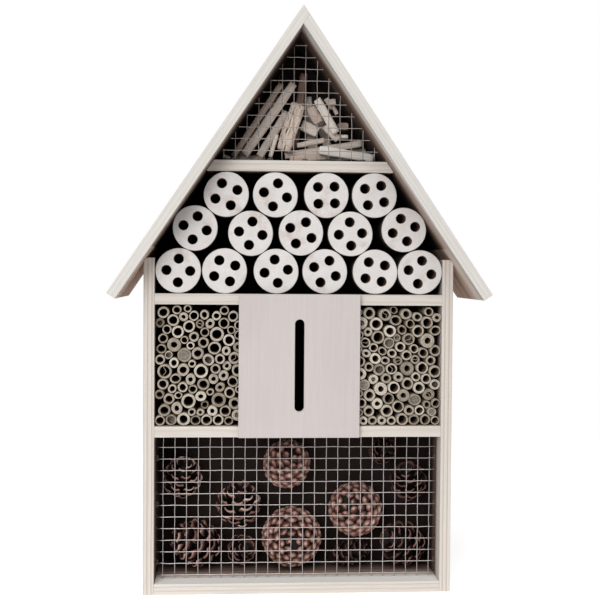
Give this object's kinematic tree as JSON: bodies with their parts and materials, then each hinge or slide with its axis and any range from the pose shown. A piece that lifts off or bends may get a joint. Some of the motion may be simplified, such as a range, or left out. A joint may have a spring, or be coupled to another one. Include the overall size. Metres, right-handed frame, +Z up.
{
  "type": "insect hotel",
  "caption": "House-shaped wooden insect hotel with a pitched roof, drilled logs, cane tubes, a slotted butterfly chamber, and mesh-fronted bays of pine cones and wood slats.",
  "frame": {"origin": "On the ground plane under the base, in the middle of the overall width and depth.", "axes": "+X is the hotel's right seen from the front, +Y runs from the front to the back, +Z is up. The front faces -Y."},
  "size_m": [0.3096, 0.1, 0.4796],
  "materials": {
    "frame_boards": "sawn pale pine, unfinished",
    "roof_boards": "sawn pale pine, unfinished",
    "panel_board": "planed pale board, unfinished",
    "plywood": "thin plywood, unfinished",
    "log_wood": "peeled log, sawn ends",
    "cane": "cut bamboo and reed, dry",
    "cone_scales": "woody cone scales",
    "slat_wood": "split waste wood",
    "bark": "stick with bark",
    "mesh_wire": "galvanised",
    "fasteners": "zinc plated",
    "hanger_steel": "zinc plated"
  },
  "bodies": {
    "root": {"left_side_board": "frame_boards", "right_side_board": "frame_boards", "base_board": "frame_boards", "lower_shelf": "frame_boards", "upper_shelf": "frame_boards", "gable_shelf": "frame_boards", "left_divider": "frame_boards", "right_divider": "frame_boards", "hanger_block": "frame_boards", "left_roof_board": "roof_boards", "right_roof_board": "roof_boards", "butterfly_panel": "panel_board", "back_panel": "plywood", "gable_mesh": "mesh_wire", "lower_mesh": "mesh_wire", "gable_mesh_staples": "fasteners", "lower_mesh_staples": "fasteners", "panel_nails": "fasteners", "roof_nails": "fasteners", "frame_nails": "fasteners", "back_panel_nails": "fasteners", "hanger_screws": "fasteners", "hanger_plate": "hanger_steel", "log_01": "log_wood", "log_02": "log_wood", "log_03": "log_wood", "log_04": "log_wood", "log_05": "log_wood", "log_06": "log_wood", "log_07": "log_wood", "log_08": "log_wood", "log_09": "log_wood", "log_10": "log_wood", "log_11": "log_wood", "log_12": "log_wood", "log_13": "log_wood", "log_14": "log_wood", "log_15": "log_wood", "left_bamboo_tubes": "cane", "right_bamboo_tubes": "cane", "pine_cone_01": "cone_scales", "pine_cone_02": "cone_scales", "pine_cone_03": "cone_scales", "pine_cone_04": "cone_scales", "pine_cone_05": "cone_scales", "pine_cone_06": "cone_scales", "pine_cone_07": "cone_scales", "pine_cone_08": "cone_scales", "pine_cone_09": "cone_scales", "pine_cone_10": "cone_scales", "pine_cone_11": "cone_scales", "long_slat_1": "slat_wood", "long_slat_2": "slat_wood", "long_slat_3": "slat_wood", "upright_slat": "slat_wood", "leaning_slat": "slat_wood", "flat_slat_1": "slat_wood", "flat_slat_2": "slat_wood", "wood_chips": "slat_wood", "bark_stick": "bark"}
  },
  "joints": []
}
